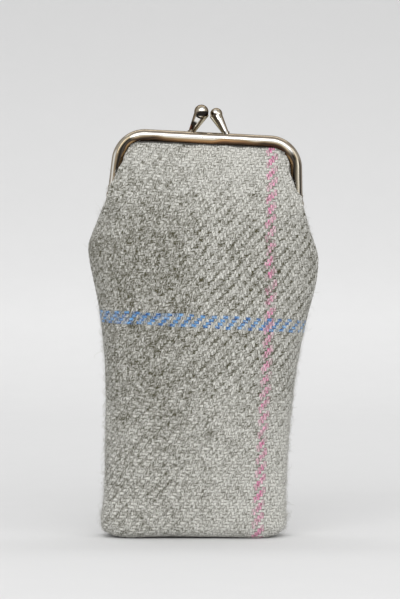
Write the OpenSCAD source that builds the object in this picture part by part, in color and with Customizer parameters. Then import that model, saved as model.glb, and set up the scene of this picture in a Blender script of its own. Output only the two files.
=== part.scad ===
// Clasp-frame soft pouch for glasses: a padded tweed pouch that stands on its base,
// sewn up to two hinged metal half-frames that close with a pair of ball-tipped fingers.
// The origin is the middle of the base. +Z is up, -Y is the front and +X is to the right.

/* [Pouch] */
// Height of the hinge axis above the base
hinge_h = 148; // [147:0.5:150]
// Width across the shoulders, the widest part of the pouch
shoulder_w = 100.6; // [98:0.2:104]
// Height of the shoulders
shoulder_h = 120.5; // [118:0.5:122]
// Width of the straight lower half
waist_w = 80.5; // [79:0.5:83]
// Width across the boxed corners at the foot
heel_w = 81.2; // [80:0.2:84]
// Depth of the pouch at its fullest
belly_d = 38; // [36:0.5:42]
// Depth of the base
base_d = 30; // [28:0.5:32]
// Lean of the upper half of the pouch and of the frame, to the right, in degrees
lean = 2.9; // [0:0.1:4]
// Sideways shift of the hinge axis that comes with the lean
hinge_shift = 6; // [0:0.5:8]

/* [Layers] */
// Thickness of the tweed
tweed_t = 1.2; // [1:0.1:1.3]
// Thickness of the wadding
wadding_t = 2; // [1.6:0.1:2]
// Thickness of the lining
lining_t = 0.4; // [0.3:0.05:0.5]
// Thickness of the sewing thread
thread_t = 0.5; // [0.4:0.1:0.6]

/* [Frame] */
// Half length of the straight top of the frame
top_half = 27.3; // [26:0.1:29]
// Outer radius of the frame's corners
corner_r = 14.6; // [13:0.1:15]
// Height of the frame's top above the hinge axis
frame_rise = 29.5; // [28:0.5:31]
// Outward flare of the legs, in degrees
flare = 4; // [0:0.5:5]
// Thickness of the frame's sheet metal
sheet_t = 0.5; // [0.4:0.05:0.5]
// Width of each half-frame's rolled band
band_w = 5.2; // [5.2:0.05:5.4]
// Radius of the paper cord that wedges the cloth in the channel
cord_r = 0.75; // [0.6:0.05:0.75]

/* [Hinge] */
// Radius of the ears at the ends of the legs
ear_r = 2.6; // [2.4:0.1:2.7]
// Thickness of an ear
ear_t = 1; // [0.8:0.05:1]
// Radius of the rivet's shank
rivet_r = 1; // [0.8:0.05:1.1]
// Radius of the rivet's outer head
rivet_head_r = 1.8; // [1.6:0.1:2]
// Radial clearance of the rivet in the ears
rivet_gap = 0.05; // [0.03:0.01:0.08]

/* [Clasp] */
// Radius of the front finger's ball
front_ball_r = 2.7; // [2.5:0.05:2.8]
// Distance of the front ball's centre from the middle of the frame
front_ball_x = 3; // [3:0.05:3.4]
// Height of the front ball's centre above the frame
front_ball_h = 8.5; // [8.3:0.05:9]
// Radius of the back finger's ball
back_ball_r = 3.15; // [2.8:0.05:3.2]
// Distance of the back ball's centre from the middle of the frame
back_ball_x = 3.6; // [3.6:0.05:4]
// Height of the back ball's centre above the frame
back_ball_h = 8.95; // [8.8:0.05:9.2]
// Distance of a ball's centre past the mating plane
ball_y = 1.2; // [0.8:0.1:1.5]
// Distance of a finger's foot from the middle of the frame
finger_x = 7.6; // [7.2:0.1:8]
// Radius of a finger at its foot
finger_foot_r = 1.35; // [1.2:0.05:1.4]
// How much thinner than its ball a finger is where they meet
finger_step = 0.4; // [0.3:0.05:0.6]

/* [Hidden] */
$fn = 64;
EPS = 0.01;

// Gap from the mating plane to each half-frame, and from the seam plane to each panel
mate_gap = 0.25;
seam_gap = 0.05;
// Gap between two layers of cloth
ply_gap = 0.15;

// Insets of the layers' faces from the outer face of the tweed
tweed_in = tweed_t;
wadding_out = tweed_in + ply_gap;
wadding_in = wadding_out + wadding_t;
lining_out = wadding_in + ply_gap;
lining_in = lining_out + lining_t;

// The sewn lower shell ends below the hinge axis, and the cloth that moves with a
// half-frame starts above it. The fold strip joins the two.
shell_top = hinge_h - 10;
mouth_foot = hinge_h + 2;

// Half widths and half depths of the tweed, as [height, half size]
OUTLINE = [
    [0, heel_w / 2 - 4.6], [2.5, heel_w / 2 - 1.2], [8, heel_w / 2], [18, waist_w / 2 - 0.2],
    [43, waist_w / 2 + 0.3], [73, waist_w / 2 + 2], [98, shoulder_w / 2 - 4],
    [shoulder_h - 8, shoulder_w / 2 - 0.9], [shoulder_h, shoulder_w / 2],
    [shoulder_h + 6, shoulder_w / 2 - 0.3], [hinge_h - 10, shoulder_w / 2 - 3.6],
    [hinge_h, shoulder_w / 2 - 7.2],
];
BELLY = [
    [0, base_d / 2 - 1.5], [3, base_d / 2], [30, base_d / 2 + 2],
    [60, belly_d / 2 - 0.5], [90, belly_d / 2], [shoulder_h, belly_d / 2 - 2],
];
// Height over which the upright foot turns into the leaning upper half
lean_h = 80;
// Exponents of the horizontal sections: boxy at the base, rounder above
BOX_N = [[0, 5], [30, 3.2], [90, 2.6], [hinge_h, 2.6]];
BOX_P = [[0, 0.35], [30, 0.5], [90, 0.62], [hinge_h, 0.62]];

// The channel's section is measured inward from the frame's outer edge and forward
// from the mating plane
roll_r = band_w / 2;
roll_y = 2.2;
slot_y = mate_gap + sheet_t;
slot_front_y = 2.45;
cord_in = 2.6;
cord_y = 3.2;
corner_z = frame_rise - corner_r;
leg_foot = ear_r + 0.4;
// Where the cloth lies in the channel
tuck_in = 1.6;
lip_in = band_w + 0.3;
tuck_foot = 6.2;
lip_z = frame_rise - lip_in;
tuck_z = frame_rise - tuck_in;
// Distances from the mating plane of the layers' faces in the channel
TWEED_TUCK = [2.35, 1.45];
WADDING_TUCK = [1.9, 1.6];
LINING_TUCK = [1.3, 1];
// Insets of the layers' side edges from the channel's lip
TWEED_EDGE = [0, 0.96];
WADDING_EDGE = [2, 2.3];
LINING_EDGE = [2.8, 3.1];
wadding_rise = 16.5;

// Columns across a panel and rows up it
COLUMNS = 16;
BASE_ROWS = [0, 0.5];
SHELL_ROWS = [0, 1, 3, 7, 13, 22, 40, 60, 80, 98, 110, 118, 124, 131, shell_top];
FOLD_ROWS = [0, 0.25, 0.5, 0.75, 1];
PANEL_ROWS = [2, 5.6, tuck_foot, 9, 12.5, 16, 19, 21.5, 23.2, lip_z, 25.4, 26.9, tuck_z];
WADDING_ROWS = [2, 5, 8.5, 12, 14.5, wadding_rise];

// Hinge plates, stacked along the axis from the outside inwards
hinge_half = top_half + corner_r * cos(flare) + (corner_z + corner_r * sin(flare)) * tan(flare);
front_ear_x = hinge_half - ear_t - 0.07;
back_ear_x = front_ear_x - ear_t - 0.2;
rivet_head_t = 0.6;
rivet_tail_r = 1.5;
tenon_r = 0.8;

function smooth(t) = let (u = min(1, max(0, t))) u * u * (3 - 2 * u);
function mix(a, b, t) = a + (b - a) * t;

// A smooth curve through points [height, value], by cubic pieces
function slope(p, i) = let (a = max(0, i - 1), b = min(len(p) - 1, i + 1))
    (p[b][1] - p[a][1]) / (p[b][0] - p[a][0]);
function piece_of(p, z, i = 0) = i >= len(p) - 2 || z <= p[i + 1][0] ? i : piece_of(p, z, i + 1);
function curve(p, z) = let (
        i = piece_of(p, z),
        h = p[i + 1][0] - p[i][0],
        t = min(1, max(0, (z - p[i][0]) / h))
    )
    (1 + 2 * t) * pow(1 - t, 2) * p[i][1] + t * pow(1 - t, 2) * h * slope(p, i)
    + t * t * (3 - 2 * t) * p[i + 1][1] + t * t * (t - 1) * h * slope(p, i + 1);

// Half width of the frame at a height above the hinge axis, at an inset from its edge
function rim_half(z, inset) = let (r = corner_r - inset)
    z > corner_z + r * sin(flare)
    ? top_half + sqrt(max(0, r * r - pow(z - corner_z, 2)))
    : top_half + r * cos(flare) + (corner_z + r * sin(flare) - z) * tan(flare);

// Half depth of the tweed: fullest at the belly, and drawn in to the channel's lip
function half_depth(z) = z <= shoulder_h
    ? curve(BELLY, z)
    : TWEED_TUCK[0] + (curve(BELLY, shoulder_h) - TWEED_TUCK[0])
        * sin(90 * max(0, (hinge_h + lip_z - z) / (hinge_h + lip_z - shoulder_h)));

// A point of the pouch before the lean, taken to its place
function place(p) = let (
        a = lean * smooth(p[2] / lean_h),
        low = min(p[2], hinge_h),
        rise = max(p[2] - hinge_h, 0)
    )
    [hinge_shift * low / hinge_h + p[0] * cos(a) + rise * sin(a), p[1],
     low - p[0] * sin(a) + rise * cos(a)];

// A point on a horizontal section whose half width is w and whose depth goes from edge
// to d. s runs from -1 at the left edge to 1 at the right one.
function section(s, w, d, edge, z, n, p) = let (c = abs(cos(90 * s)), x = pow(abs(sin(90 * s)), 2 / n))
    [sign(s) * w * x, -edge - max(0, d - edge) * (abs(s) > 0.999 ? 0 : pow(c, 2 * p)), z];

// One row of a lower shell's face, at an inset from the outer face
function shell_row(z, inset, cover = 1) = let (rise = inset + z * (shell_top - inset) / shell_top)
    [for (j = [0 : COLUMNS]) let (
            q = section(2 * j / COLUMNS - 1, curve(OUTLINE, z) - inset, half_depth(z) - inset,
                seam_gap, rise, curve(BOX_N, z), curve(BOX_P, z))
        )
        place([q[0] * mix(0.94, 1, cover), min(-seam_gap, q[1] * cover), q[2]])];
function shell_face(inset) = concat(
    [for (f = BASE_ROWS) shell_row(0, inset, f)],
    [for (z = SHELL_ROWS) shell_row(z, inset)]);

// One face of the fold strip, between the shell's top and the foot of the mouth
function fold_face(k) = [for (f = FOLD_ROWS) let (
        z = mix(shell_top, mouth_foot - 0.3, f),
        edge = mix(seam_gap, TWEED_TUCK[k], smooth(f)),
        w = mix(curve(OUTLINE, shell_top) - k * tweed_in,
            rim_half(mouth_foot - hinge_h, lip_in) - TWEED_EDGE[k], smooth(f))
    )
    [for (j = [0 : COLUMNS])
        place(section(2 * j / COLUMNS - 1, w, half_depth(z) - k * tweed_in, edge, z,
            curve(BOX_N, z), curve(BOX_P, z)))]];

// One face of a layer in the mouth: the panel between the legs, with or without the
// edge that is tucked into the channel
function panel_row(rise, inset, tuck, side) = let (
        w = rim_half(min(rise, lip_z), lip_in) - side,
        top = rise > lip_z ? mix(1, 0.9, (rise - lip_z) / (tuck_z - lip_z)) : 1,
        z = hinge_h + rise
    )
    [for (j = [0 : COLUMNS]) let (
            q = section(2 * j / COLUMNS - 1, w, half_depth(z) - inset, tuck, z,
                curve(BOX_N, hinge_h), curve(BOX_P, hinge_h))
        )
        [q[0] * top, q[1], q[2]]];
function tucked_row(rise, inset, tuck, side) = let (
        edge = rise < tuck_foot ? rim_half(rise, lip_in) + 0.1 : rim_half(rise, tuck_in),
        z = hinge_h + rise
    )
    concat([[-edge, -tuck, z]], panel_row(rise, inset, tuck, side), [[edge, -tuck, z]]);
function tucked_face(inset, tuck, side) = [for (rise = PANEL_ROWS)
    [for (q = tucked_row(rise, inset, tuck, side)) place(q)]];
function padded_face(inset, tuck, side) = [for (rise = WADDING_ROWS)
    [for (q = panel_row(rise, inset, tuck, side)) place(q)]];

// The two triangles of the cell whose lower left corner is point a. The left half is split
// along the other diagonal, so that both halves match.
function split(a, cols, left) = let (b = a + 1, c = a + cols, d = c + 1)
    left ? [[a, c, d], [a, d, b]] : [[a, c, b], [b, c, d]];

// A closed sheet between an outer and an inner face, each a list of rows of points
module sheet_solid(outer, inner) {
    rows = len(outer);
    cols = len(outer[0]);
    count = rows * cols;
    points = concat([for (r = outer) each r], [for (r = inner) each r]);
    ring = concat(
        [for (j = [0 : cols - 1]) j],
        [for (i = [1 : rows - 1]) i * cols + cols - 1],
        [for (j = [cols - 2 : -1 : 0]) (rows - 1) * cols + j],
        [for (i = [rows - 2 : -1 : 1]) i * cols]);
    polyhedron(points, concat(
        [for (i = [0 : rows - 2], j = [0 : cols - 2], t = split(i * cols + j, cols, 2 * j < cols - 1))
            [t[0], t[1], t[2]]],
        [for (i = [0 : rows - 2], j = [0 : cols - 2], t = split(i * cols + j, cols, 2 * j < cols - 1))
            [count + t[0], count + t[2], count + t[1]]],
        [for (k = [0 : len(ring) - 1]) let (a = ring[k], b = ring[(k + 1) % len(ring)])
            each [[a, b, count + a], [b, count + b, count + a]]]));
}

// A round thread along a list of points that runs upwards
module thread_along(path, sides = 6) {
    r = thread_t / 2;
    n = len(path);
    polyhedron(
        [for (p = path, k = [0 : sides - 1])
            [p[0] + r * cos(360 * k / sides), p[1] + r * sin(360 * k / sides), p[2]]],
        concat(
            [[for (k = [0 : sides - 1]) k]],
            [for (i = [0 : n - 2], k = [0 : sides - 1]) let (
                    a = i * sides + k, b = i * sides + (k + 1) % sides
                )
                each [[a, a + sides, b], [b, a + sides, b + sides]]],
            [[for (k = [sides - 1 : -1 : 0]) (n - 1) * sides + k]]));
}

// Puts what is drawn about the hinge axis into its place on the pouch
module on_hinge() {
    translate([hinge_shift, 0, hinge_h]) rotate([0, lean, 0]) children();
}

// Sweeps a section along the frame, down to a height above the hinge axis. The section's
// first axis is the radius from the corner's centre and its second one points forward.
module along_frame(foot) {
    leg = (corner_z + corner_r * sin(flare) - foot) / cos(flare);
    for (side = [0, 1]) mirror([side, 0, 0])
        translate([top_half, 0, corner_z]) rotate([90, 0, 0]) rotate([0, 0, flare]) {
            rotate_extrude(angle = 90 - flare) children();
            rotate([90, 0, 0]) linear_extrude(leg) children();
        }
    translate([-top_half, 0, corner_z]) rotate([90, 0, 0]) rotate([0, 0, 90]) rotate([90, 0, 0])
        linear_extrude(2 * top_half) children();
}

// A channel's round front and flat back, at an inset from the sheet's outside
module rolled_outline(inset) {
    reach = 3 * roll_r;
    intersection() {
        translate([corner_r - roll_r, roll_y]) circle(roll_r - inset);
        translate([corner_r - roll_r - reach / 2, mate_gap + inset]) square(reach);
    }
}

module channel_section() {
    difference() {
        rolled_outline(0);
        rolled_outline(sheet_t);
        translate([corner_r - 2 * band_w, slot_y])
            square([2 * band_w - roll_r, slot_front_y - slot_y]);
    }
}

// One half-frame, drawn as the front one. ear_x is where its ears start.
module half_frame(ear_x) {
    web_h = leg_foot + 1;
    difference() {
        union() {
            along_frame(leg_foot) channel_section();
            for (side = [0, 1]) mirror([side, 0, 0]) {
                translate([ear_x, 0, 0]) rotate([0, 90, 0]) cylinder(r = ear_r, h = ear_t);
                translate([ear_x, -roll_y, 0]) cube([ear_t, roll_y - mate_gap, web_h]);
            }
        }
        for (side = [0, 1]) mirror([side, 0, 0])
            translate([ear_x - 1, 0, 0]) rotate([0, 90, 0])
                cylinder(r = rivet_r + rivet_gap, h = ear_t + 2);
        translate([finger_x, -roll_y, frame_rise - 1]) cylinder(r = tenon_r + 0.05, h = 2);
    }
}

// One clasp finger, drawn as the front one: it leans back over the mating plane. Its foot
// is hollowed to sit on the round channel, and its tenon is headed over inside.
// ball_at is its ball's distance from the middle and height above the frame.
module clasp_finger(ball_r, ball_at) {
    finger_len = norm([finger_x - ball_at[0], roll_y + ball_y, ball_at[1]]);
    finger_in = asin((finger_x - ball_at[0]) / finger_len);
    finger_back = atan((roll_y + ball_y) / ball_at[1]);
    collar_r = 1.6;
    collar_h = 0.8;
    seat_h = 0.6;
    fin_t = 0.6;
    fin_w = ball_r + 0.5;
    head_z = -1.2;
    translate([finger_x, -roll_y, frame_rise]) {
        difference() {
            union() {
                translate([0, 0, -seat_h]) cylinder(r = collar_r, h = collar_h + seat_h);
                rotate([-finger_back, 0, 0]) rotate([0, -finger_in, 0]) {
                    cylinder(r1 = finger_foot_r, r2 = ball_r - finger_step, h = finger_len - 1.2);
                    translate([0, 0, finger_len]) sphere(ball_r);
                    rotate([90, 0, 0]) translate([0, 0, -fin_t / 2]) linear_extrude(fin_t)
                        polygon([[0, collar_h], [-finger_foot_r - 0.1, collar_h],
                            [-fin_w, finger_len - 0.3], [-fin_w + 0.4, finger_len + 0.3],
                            [0, finger_len + 0.8]]);
                }
            }
            translate([0, 0, -roll_r]) rotate([0, 90, 0])
                cylinder(r = roll_r + EPS, h = 4 * collar_r, center = true);
        }
        translate([0, 0, head_z]) cylinder(r = tenon_r, h = collar_h / 2 - head_z);
        translate([0, 0, head_z]) cylinder(r = tenon_r + 0.2, h = 0.4);
    }
}

module paper_cord() {
    along_frame(tuck_foot) translate([corner_r - cord_in, cord_y]) circle(cord_r);
}

// A rivet on the +X side: a domed head outside, the shank through both ears and a tail
module hinge_rivet() {
    head_x = front_ear_x + ear_t + 0.05;
    tail_x = back_ear_x - 0.7;
    rotate([0, 90, 0]) {
        translate([0, 0, tail_x]) cylinder(r = rivet_tail_r, h = 0.65);
        translate([0, 0, tail_x]) cylinder(r = rivet_r, h = head_x - tail_x + EPS);
        intersection() {
            translate([0, 0, head_x]) cylinder(r = rivet_head_r, h = rivet_head_t);
            translate([0, 0, head_x + rivet_head_t - 3]) sphere(3);
        }
    }
}

module front_tweed() {
    color("#a9a8a1") sheet_solid(shell_face(0), shell_face(tweed_in));
}

module front_tweed_fold() {
    color("#a3a29b") sheet_solid(fold_face(0), fold_face(1));
}

module front_wadding() {
    color("#efece2") sheet_solid(shell_face(wadding_out), shell_face(wadding_in));
}

module front_lining() {
    color("#5f6d84") sheet_solid(shell_face(lining_out), shell_face(lining_in));
}

module front_tweed_mouth() {
    color("#b4b3ad") sheet_solid(
        tucked_face(0, TWEED_TUCK[0], TWEED_EDGE[0]),
        tucked_face(tweed_in, TWEED_TUCK[1], TWEED_EDGE[1]));
}

module front_wadding_mouth() {
    color("#efece2") sheet_solid(
        padded_face(wadding_out, WADDING_TUCK[0], WADDING_EDGE[0]),
        padded_face(wadding_in, WADDING_TUCK[1], WADDING_EDGE[1]));
}

module front_lining_mouth() {
    color("#5f6d84") sheet_solid(
        tucked_face(lining_out, LINING_TUCK[0], LINING_EDGE[0]),
        tucked_face(lining_in, LINING_TUCK[1], LINING_EDGE[1]));
}

module side_seam_threads() {
    color("#8d8c86") for (side = [-1, 1])
        thread_along([for (z = [for (z = SHELL_ROWS) if (z > 1 && z < shell_top) z])
            place([side * (curve(OUTLINE, z) - tweed_t / 2), 0, z])]);
}

module base_seam_thread() {
    half = (curve(OUTLINE, 0) - tweed_t) * 0.9;
    color("#8d8c86") translate([-half, 0, tweed_t / 2]) rotate([0, 90, 0])
        cylinder(r = thread_t / 2, h = 2 * half);
}

module front_channel() {
    color("#cfccc4") on_hinge() half_frame(front_ear_x);
}

module back_channel() {
    color("#cfccc4") on_hinge() rotate([0, 0, 180]) half_frame(back_ear_x);
}

module front_clasp_finger() {
    color("#d8d5cd") on_hinge() clasp_finger(front_ball_r, [front_ball_x, front_ball_h]);
}

module back_clasp_finger() {
    color("#d8d5cd") on_hinge() rotate([0, 0, 180])
        clasp_finger(back_ball_r, [back_ball_x, back_ball_h]);
}

module front_paper_cord() {
    color("#c9b48f") on_hinge() paper_cord();
}

module back_paper_cord() {
    color("#c9b48f") on_hinge() rotate([0, 0, 180]) paper_cord();
}

module right_hinge_rivet() {
    color("#cfccc4") on_hinge() hinge_rivet();
}

module left_hinge_rivet() {
    color("#cfccc4") on_hinge() mirror([1, 0, 0]) hinge_rivet();
}

module behind() {
    mirror([0, 1, 0]) children();
}

front_tweed();
behind() front_tweed();  // back_tweed
front_tweed_fold();
behind() front_tweed_fold();  // back_tweed_fold
front_wadding();
behind() front_wadding();  // back_wadding
front_lining();
behind() front_lining();  // back_lining
side_seam_threads();
base_seam_thread();
front_channel();
front_clasp_finger();
front_paper_cord();
front_tweed_mouth();
front_wadding_mouth();
front_lining_mouth();
back_channel();
back_clasp_finger();
back_paper_cord();
behind() front_tweed_mouth();  // back_tweed_mouth
behind() front_wadding_mouth();  // back_wadding_mouth
behind() front_lining_mouth();  // back_lining_mouth
left_hinge_rivet();
right_hinge_rivet();
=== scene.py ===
import math

import bpy
import numpy as np
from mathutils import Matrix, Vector


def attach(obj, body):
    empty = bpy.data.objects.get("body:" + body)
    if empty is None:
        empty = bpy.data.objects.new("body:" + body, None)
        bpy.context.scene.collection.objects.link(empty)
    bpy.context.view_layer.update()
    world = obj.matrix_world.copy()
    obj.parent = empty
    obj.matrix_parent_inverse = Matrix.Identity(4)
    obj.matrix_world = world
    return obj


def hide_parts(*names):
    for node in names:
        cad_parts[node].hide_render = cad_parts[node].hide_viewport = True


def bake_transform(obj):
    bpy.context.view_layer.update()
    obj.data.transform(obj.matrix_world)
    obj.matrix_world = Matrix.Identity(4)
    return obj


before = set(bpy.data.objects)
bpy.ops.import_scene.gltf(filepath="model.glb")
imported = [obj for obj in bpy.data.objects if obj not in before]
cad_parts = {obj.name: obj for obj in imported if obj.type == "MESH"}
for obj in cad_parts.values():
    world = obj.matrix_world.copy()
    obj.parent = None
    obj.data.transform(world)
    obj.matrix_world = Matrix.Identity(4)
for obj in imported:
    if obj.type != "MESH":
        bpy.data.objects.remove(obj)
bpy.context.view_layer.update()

# A tweed glasses pouch that stands on its base, with a hinged metal clasp frame. Lengths are
# in millimetres until a mesh is made, and in metres from there on. The pouch's shape repeats
# the functions of the CAD model, so that each layer of cloth fills the space of its solids.
MM = 0.001
HINGE_H = 148
SHOULDER_W = 100.6
SHOULDER_H = 120.5
WAIST_W = 80.5
HEEL_W = 81.2
HEEL_R = 5
BELLY_D = 38
BASE_D = 30
SEAM_TOP = 141.5
# The pouch leans to the right from its base up to LEAN_H, and its hinge stands off to the right
LEAN = math.radians(2.9)
LEAN_H = 80
HINGE_SHIFT = 6
# The frame above its hinge axis: half its straight top, its corners' radius and the height of
# their centres, and how far its legs flare
TOP_HALF = 27.3
CORNER_R = 14.6
CORNER_Z = 14.9
FLARE = math.radians(4)
# The channel's lips, in from the frame's edge and above the axis, and the cloth tucked into it
LIP_IN = 5.5
LIP_Z = 24
TUCK_FOOT = 6.2
TUCK_Z = 27.9
# How far in the side seam lies, how far from the middle plane a panel's side edge lies at the
# seam and inside the frame, and how far out its ledge lies where the cloth swells over the legs
SEAM_IN = 0.9
SEAM_Y = 0.05
SLOT_Y = 2.35
LEDGE_Y = 5.2

# Half widths and half depths of the pouch, as (height, half size)
OUTLINE = [
    (0, HEEL_W / 2 - 0.8), (8, HEEL_W / 2), (18, WAIST_W / 2 - 0.4), (43, WAIST_W / 2),
    (73, WAIST_W / 2 + 1.6), (98, SHOULDER_W / 2 - 4.6), (SHOULDER_H - 8, SHOULDER_W / 2 - 1.2),
    (SHOULDER_H, SHOULDER_W / 2 + 0.1), (SHOULDER_H + 6, SHOULDER_W / 2),
    (HINGE_H - 10, SHOULDER_W / 2 - 4.1), (HINGE_H, SHOULDER_W / 2 - 7.5),
    (HINGE_H + 3, 42.7),
]
BELLY = [
    (0, BASE_D / 2), (3, BASE_D / 2), (30, BASE_D / 2 + 2), (60, BELLY_D / 2 - 0.5),
    (90, BELLY_D / 2), (SHOULDER_H, BELLY_D / 2 - 2),
]
# How square the sections are across the face and through the depth, as (height, exponent)
BOX_N = [(0, 5), (30, 3.2), (90, 2.6), (HINGE_H, 2.6)]
BOX_P = [(0, 0.35), (30, 0.5), (90, 0.62), (HINGE_H, 0.62)]
# How far the pouch's middle stands right of a straight line from its base to the hinge
SWAY = [(0, 0.7), (19, 0.7), (44, 0.7), (83, 1.0), (110, 1.0), (126, 0.1), (148, 0)]
# Width of metal that the cloth leaves bare, against the rise above the hinge axis
BARE_METAL = [(3, 0), (5.3, 1.3), (8.4, 2.4), (11.6, 3.8), (13.5, 4.9), (15, LIP_IN)]
# Rows of a panel across its base, round its heel, and up its side
BASE_ROWS = 60
HEEL_ROWS = 60
SIDE_ROWS = 840
# How far the middle of the base's front edge and the base's corners are lifted
ARCH = 0.8
CORNER_LIFT = 1
# The corners are lifted outside this half width, over this width, and below this height
LIFT_X = 27
LIFT_W = 12
LIFT_H = 10
# The highest that the cloth sags or swells between its edges
SAG = 0.34
# How far the front panel is drawn in along the frame's right leg
DRAWN_IN = 1.1
# How far the warp has slid to the left of the middle line
WARP_SLIP = [(0, 1.4), (28, 1.0), (58, 0.3), (128, 0), (148, 0.4), (170, 1.0)]

# The weave: the pitch of its ends and picks, the blue line's height and picks, the pink ends
END = 1.21
PICK = 1.43
BLUE_H = 94.5
BLUE_PICKS = 4
PINK_ENDS = (22, 25)
# How far a float bows out along its length and across it, and how far the threads wander
CRIMP = 0.16
ROUNDNESS = 0.3
END_DRIFT = 0.16
PICK_DRIFT = 0.14
# Columns and rows of the mesh to a thread
SAMPLES = 3
# How far the top of a warp float leans over, in threads, and how the loose fibres lie, and how
# many stand off each panel
SLANT = 0.32
HAIR_ANGLES = (0.35, -0.7, 1.5)
FIBRES = 9000
# The picks at the foot and the top of the plaid's shading, counted from the blue line
FOOT_PICK = -70
TOP_PICK = 60
# The darkest and lightest colour of each kind of yarn
WOOL = (0.053, 0.048, 0.02), (0.657, 0.65, 0.606)
PINK = (0.5, 0.055, 0.21), (0.91, 0.42, 0.61)
BLUE = (0.01, 0.06, 0.24), (0.16, 0.39, 0.7)

HINGE = (HINGE_SHIFT * MM, 0, HINGE_H * MM)
# Each clasp finger: its foot and its ball's centre about the hinge axis, across and up, the
# ball's radius, where the ball's highlight lies on its face, and how far down its face the
# ball is told from the stem
FRAME_TOP = 29.5
FINGERS = {
    "front": ((7.6, FRAME_TOP), (3, 38), 2.7, (-0.19, 0.37), 0.1),
    "back": ((-7.6, FRAME_TOP), (-3.6, 38.45), 3.15, (0.1, 0.29), -0.66),
}
# What the metal's grazing reflections are tinted by, under its lacquer
EDGE_TINT = (0.42, 0.36, 0.29, 1)
# Half width of a finger's foot, and how far its fin stands out past the ball's radius
FINGER_FOOT_R = 1.45
FIN_PROUD = 0.5
# Painted reflections, highlights, glints and shade round the rolled rim, from 0 on its outer side to
# 1 on its inner side: along the middle of the top, near its ends, round the bends, and down the left
# leg and the right leg
RIM_OUTSIDE = [
    (0.02, (0.5, 0.45, 0.38)), (0.1, (0.34, 0.28, 0.21)), (0.23, (0.37, 0.31, 0.24)),
    (0.33, (0.58, 0.55, 0.5)), (0.41, (1, 0.99, 0.97)), (0.48, (0.98, 0.95, 0.88)),
]
RIM_PAINTED_LIGHT = [
    RIM_OUTSIDE + [
        (0.55, (0.62, 0.51, 0.35)), (0.62, (0.38, 0.24, 0.12)), (0.7, (0.6, 0.34, 0.16)),
        (0.79, (0.28, 0.15, 0.075)), (0.93, (0.1, 0.065, 0.045)),
    ],
    RIM_OUTSIDE + [
        (0.55, (0.52, 0.42, 0.28)), (0.62, (0.2, 0.135, 0.08)), (0.72, (0.045, 0.035, 0.03)),
        (0.82, (0.1, 0.06, 0.035)), (0.93, (0.03, 0.025, 0.02)),
    ],
    [
        (0.03, (0.52, 0.48, 0.42)), (0.12, (0.4, 0.35, 0.28)), (0.22, (0.5, 0.45, 0.36)),
        (0.34, (0.3, 0.24, 0.16)), (0.43, (0.09, 0.075, 0.05)), (0.5, (0.025, 0.025, 0.02)),
        (0.6, (0.09, 0.075, 0.06)), (0.68, (0.04, 0.03, 0.025)), (0.76, (0.45, 0.29, 0.14)),
        (0.9, (0.05, 0.035, 0.025)),
    ],
    [
        (0.03, (0.4, 0.36, 0.3)), (0.13, (0.58, 0.53, 0.46)), (0.19, (1, 0.98, 0.92)),
        (0.24, (1, 0.97, 0.9)), (0.3, (0.42, 0.34, 0.24)), (0.41, (0.34, 0.26, 0.17)),
        (0.49, (0.06, 0.05, 0.035)), (0.54, (0.025, 0.023, 0.02)), (0.63, (0.07, 0.055, 0.045)),
        (0.74, (0.42, 0.28, 0.14)), (0.9, (0.04, 0.03, 0.02)),
    ],
    [
        (0.05, (0.58, 0.55, 0.48)), (0.13, (0.2, 0.16, 0.13)), (0.2, (0.02, 0.017, 0.014)),
        (0.25, (0.05, 0.045, 0.035)), (0.31, (0.5, 0.46, 0.38)), (0.39, (0.66, 0.6, 0.48)),
        (0.47, (0.22, 0.19, 0.13)), (0.57, (0.07, 0.06, 0.045)), (0.65, (0.02, 0.02, 0.02)),
        (0.78, (0.45, 0.3, 0.16)), (0.9, (0.04, 0.03, 0.02)),
    ],
]

# How many slubs, per metre, lie across and along the threads of the plain cloths
SLUBS = (2600, 130)

STITCH_PITCH = 2.5
STITCH_HALF = 0.75
BASE_SEAM_HALF = 31.5


def smooth(t):
    t = np.clip(t, 0, 1)
    return t * t * (3 - 2 * t)


def mix(a, b, t):
    return a + (b - a) * t


def curve(points, z):
    """A smooth curve through points (height, value), by cubic pieces."""
    at, value = np.array(points, float).T
    last = len(at) - 1
    lower = np.maximum(np.arange(last + 1) - 1, 0)
    upper = np.minimum(np.arange(last + 1) + 1, last)
    slope = (value[upper] - value[lower]) / (at[upper] - at[lower])
    i = np.clip(np.searchsorted(at, z) - 1, 0, last - 1)
    h = at[i + 1] - at[i]
    t = np.clip((z - at[i]) / h, 0, 1)
    return ((1 + 2 * t) * (1 - t) ** 2 * value[i] + t * (1 - t) ** 2 * h * slope[i]
            + t * t * (3 - 2 * t) * value[i + 1] + t * t * (t - 1) * h * slope[i + 1])


def rim_half(rise, inset):
    """Half width of the frame at a height above the hinge axis, at an inset from its edge."""
    r = CORNER_R - inset
    bend = CORNER_Z + r * math.sin(FLARE)
    corner = TOP_HALF + np.sqrt(np.maximum(0, r * r - (rise - CORNER_Z) ** 2))
    leg = TOP_HALF + r * math.cos(FLARE) + (bend - rise) * math.tan(FLARE)
    return np.where(rise > bend, corner, leg)


def half_depth(z):
    """Half depth of the pouch at its middle, drawn in from the shoulders to the frame."""
    rim = HINGE_H + LIP_Z
    below = np.clip((rim - z) / (rim - SHOULDER_H), 0, 1)
    drawn = mix(SLOT_Y, BELLY[-1][1], np.sin(math.pi / 2 * below))
    return np.where(z <= SHOULDER_H, curve(BELLY, z), drawn)


def heel_in(z):
    """How far the heel's rounding takes the sides in at height z."""
    below = np.clip(HEEL_R - z, 0, HEEL_R)
    return HEEL_R - np.sqrt(HEEL_R ** 2 - below ** 2)


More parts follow.
